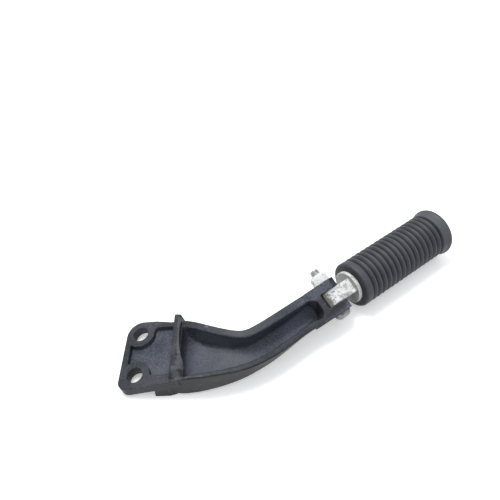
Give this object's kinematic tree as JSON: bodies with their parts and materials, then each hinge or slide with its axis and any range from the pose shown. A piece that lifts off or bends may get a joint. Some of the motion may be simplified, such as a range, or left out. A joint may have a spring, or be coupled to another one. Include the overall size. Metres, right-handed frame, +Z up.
{
  "type": "passenger foot peg bracket",
  "caption": "Cast arm with a two-hole fixing plate and an open channel; a fold-down foot peg with a ribbed rubber grip hinges in the fork at its end.",
  "frame": {"origin": "on the flat pad under the plate, below the middle of the two fixing holes", "axes": "+Z up out of the channel side with the pad resting on Z = 0, +Y along the line of the two holes, +X towards the peg"},
  "size_m": [0.2724, 0.1678, 0.0426],
  "materials": {
    "black_coat": "satin",
    "zinc_bolt": "satin",
    "zinc_nut": "satin",
    "nylon": "matte",
    "peg_metal": "satin",
    "rubber": "matte"
  },
  "bodies": {
    "bracket": {"bracket_casting": "black_coat", "pivot_bolt": "zinc_bolt", "lock_nut": "zinc_nut", "nut_insert": "nylon"},
    "peg": {"peg_core": "peg_metal", "grip_rubber": "rubber"}
  },
  "joints": [
    {"name": "peg_fold", "type": "hinge", "parent": "bracket", "child": "peg", "pos_m": [0.1511, 0.0468, 0.0214], "axis": [-0.553, 0.709, 0.4375], "range_deg": [-12, 80]}
  ]
}
